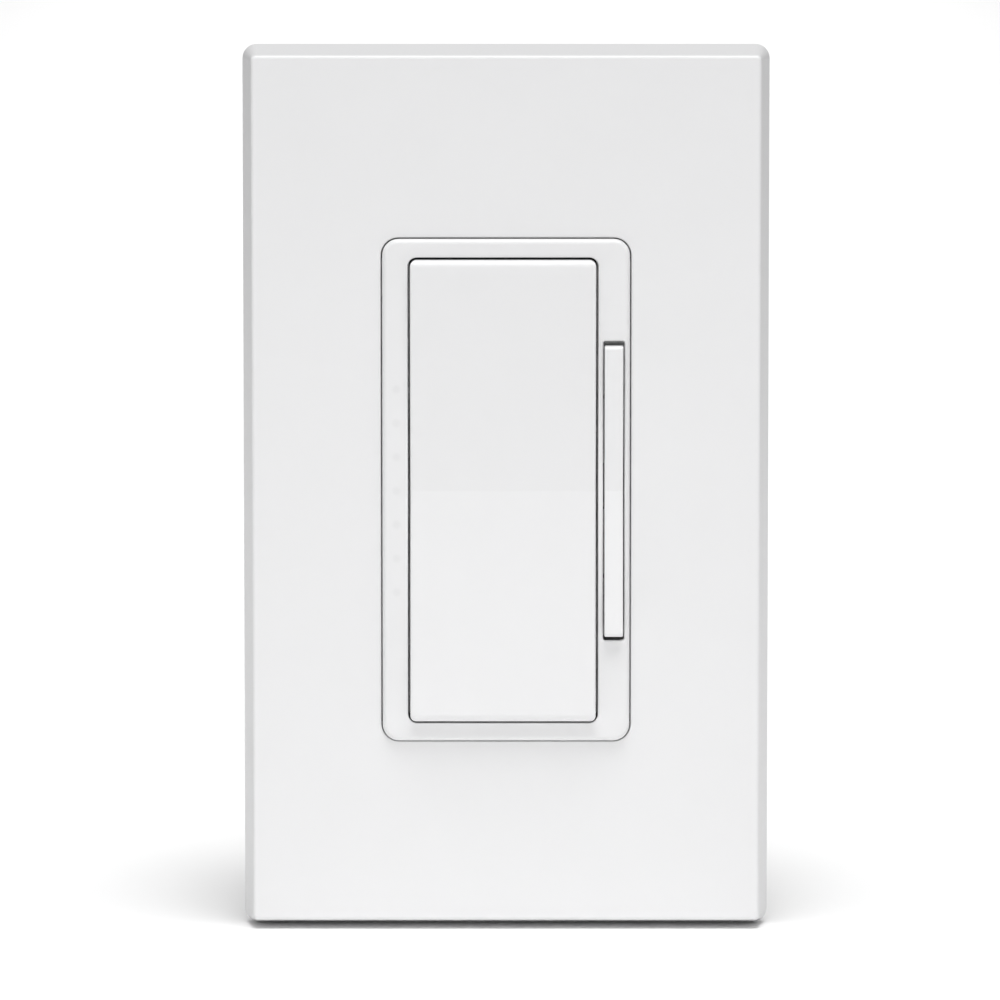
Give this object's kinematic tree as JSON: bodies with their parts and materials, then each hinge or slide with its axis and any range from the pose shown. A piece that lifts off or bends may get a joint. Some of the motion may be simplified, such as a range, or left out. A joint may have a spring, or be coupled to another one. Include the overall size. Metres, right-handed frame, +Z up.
{
  "type": "in-wall dimmer switch",
  "caption": "In-wall dimmer with a screwless wall plate, a framed dished rocker paddle, a slim side dim bar with an air-gap pull, and a closed housing with side terminals.",
  "frame": {"origin": "on the wall's face, midway between the two wall-box screws", "axes": "+Z up along the plate's height, +Y into the wall, so the front faces -Y; +X to the right as seen from the room"},
  "size_m": [0.0698, 0.0419, 0.1176],
  "materials": {
    "adapter_plastic": "moulded white",
    "bar_plastic": "smooth satin white",
    "bezel_plastic": "smooth satin white",
    "black_part": "black moulding",
    "black_screw": "black oxide",
    "blue_screw": "blue dyed plating",
    "board_green": "solder mask",
    "brass": "bare brass",
    "can_sleeve": "sleeved can",
    "carrier_plastic": "black nylon",
    "ceramic_part": "chip body",
    "copper": "bare copper",
    "ferrite": "coated core",
    "film_yellow": "epoxy box",
    "fuse_glass": "glass tube with plated caps",
    "green_screw": "green dyed plating",
    "housing_plastic": "fine textured dark grey",
    "led_white": "white light package",
    "light_pipe_clear": "clear moulding",
    "pad_grey": "silicone pad",
    "paddle_plastic": "fine satin white",
    "pin_steel": "ground",
    "plate_plastic": "smooth satin white",
    "plunger_plastic": "natural acetal",
    "slider_plastic": "dark brown acetal",
    "spring_steel": "drawn wire",
    "steel_screw": "zinc plated",
    "stem_plastic": "black acetal",
    "strap_metal": "rolled, clear passivated",
    "transformer_tape": "taped winding",
    "varistor_blue": "dipped epoxy",
    "washer_fibre": "pressed fibre"
  },
  "bodies": {
    "base": {"faceplate": "plate_plastic", "subplate": "adapter_plastic", "subplate_screws": "steel_screw", "mounting_strap": "strap_metal", "mounting_screws": "steel_screw", "retaining_washers": "washer_fibre", "ground_screw": "green_screw", "bezel_frame": "bezel_plastic", "light_pipe": "light_pipe_clear", "level_leds": "led_white", "rocker_carrier": "carrier_plastic", "rocker_pin": "pin_steel", "paddle_springs": "spring_steel", "airgap_contacts": "brass", "control_board": "board_green", "tact_switch_bodies": "black_part", "microcontroller": "ceramic_part", "board_resistors": "ceramic_part", "board_header": "black_part", "power_transistors": "black_part", "insulator_pads": "pad_grey", "transistor_screws": "steel_screw", "power_board": "board_green", "toroid_core": "ferrite", "choke_winding": "copper", "filter_capacitor": "can_sleeve", "film_capacitor": "film_yellow", "surge_varistor": "varistor_blue", "fuse": "fuse_glass", "supply_transformer": "transformer_tape", "bridge_rectifier": "black_part", "terminal_brackets": "brass", "terminal_clamp_plates": "steel_screw", "line_terminal_screw": "brass", "load_terminal_screw": "black_screw", "neutral_terminal_screw": "steel_screw", "traveler_terminal_screw": "blue_screw", "housing": "housing_plastic", "housing_screws": "steel_screw"},
    "paddle_body": {"paddle": "paddle_plastic"},
    "paddle_plunger_upper_body": {"paddle_plunger_upper": "plunger_plastic"},
    "paddle_plunger_lower_body": {"paddle_plunger_lower": "plunger_plastic"},
    "slider_body": {"airgap_slider": "slider_plastic", "airgap_blade": "copper", "bar_pin": "pin_steel", "bar_springs": "spring_steel"},
    "dim_bar_body": {"dim_bar": "bar_plastic"},
    "bar_plunger_upper_body": {"bar_plunger_upper": "plunger_plastic"},
    "bar_plunger_lower_body": {"bar_plunger_lower": "plunger_plastic"},
    "paddle_stem_upper_body": {"paddle_switch_stem_upper": "stem_plastic"},
    "paddle_stem_lower_body": {"paddle_switch_stem_lower": "stem_plastic"},
    "bar_stem_upper_body": {"bar_switch_stem_upper": "stem_plastic"},
    "bar_stem_lower_body": {"bar_switch_stem_lower": "stem_plastic"}
  },
  "joints": [
    {"name": "paddle_rock", "type": "hinge", "parent": "base", "child": "paddle_body", "pos_m": [-0.0004, -0.0044, 0], "axis": [1, 0, 0], "range_deg": [-1.8, 1.8], "stiffness_Nm_per_rad": 0.05, "deforming": ["paddle_springs"]},
    {"name": "paddle_plunger_upper_slide", "type": "slide", "parent": "base", "child": "paddle_plunger_upper_body", "axis": [0, 1, 0], "range_m": [-0.00064, 0.00064]},
    {"name": "paddle_plunger_lower_slide", "type": "slide", "parent": "base", "child": "paddle_plunger_lower_body", "axis": [0, 1, 0], "range_m": [-0.00064, 0.00064]},
    {"name": "airgap_pull", "type": "slide", "parent": "base", "child": "slider_body", "axis": [0, -1, 0], "range_m": [0, 0.003]},
    {"name": "bar_rock", "type": "hinge", "parent": "slider_body", "child": "dim_bar_body", "pos_m": [0.01425, -0.0044, 0], "axis": [1, 0, 0], "range_deg": [-2.6, 2.6], "stiffness_Nm_per_rad": 0.01, "deforming": ["bar_springs"]},
    {"name": "bar_plunger_upper_slide", "type": "slide", "parent": "slider_body", "child": "bar_plunger_upper_body", "axis": [0, 1, 0], "range_m": [-0.00055, 0.00055]},
    {"name": "bar_plunger_lower_slide", "type": "slide", "parent": "slider_body", "child": "bar_plunger_lower_body", "axis": [0, 1, 0], "range_m": [-0.00055, 0.00055]},
    {"name": "paddle_switch_upper_press", "type": "slide", "parent": "base", "child": "paddle_stem_upper_body", "axis": [0, 1, 0], "range_m": [0, 0.00025], "stiffness_N_per_m": 200},
    {"name": "paddle_switch_lower_press", "type": "slide", "parent": "base", "child": "paddle_stem_lower_body", "axis": [0, 1, 0], "range_m": [0, 0.00025], "stiffness_N_per_m": 200},
    {"name": "bar_switch_upper_press", "type": "slide", "parent": "base", "child": "bar_stem_upper_body", "axis": [0, 1, 0], "range_m": [0, 0.00025], "stiffness_N_per_m": 200},
    {"name": "bar_switch_lower_press", "type": "slide", "parent": "base", "child": "bar_stem_lower_body", "axis": [0, 1, 0], "range_m": [0, 0.00025], "stiffness_N_per_m": 200}
  ],
  "couplings": [
    {"joint": "paddle_plunger_upper_slide", "follows": "paddle_rock", "m_per_rad": -0.02},
    {"joint": "paddle_plunger_lower_slide", "follows": "paddle_rock", "m_per_rad": 0.02},
    {"joint": "bar_plunger_upper_slide", "follows": "bar_rock", "m_per_rad": -0.012},
    {"joint": "bar_plunger_lower_slide", "follows": "bar_rock", "m_per_rad": 0.012}
  ]
}
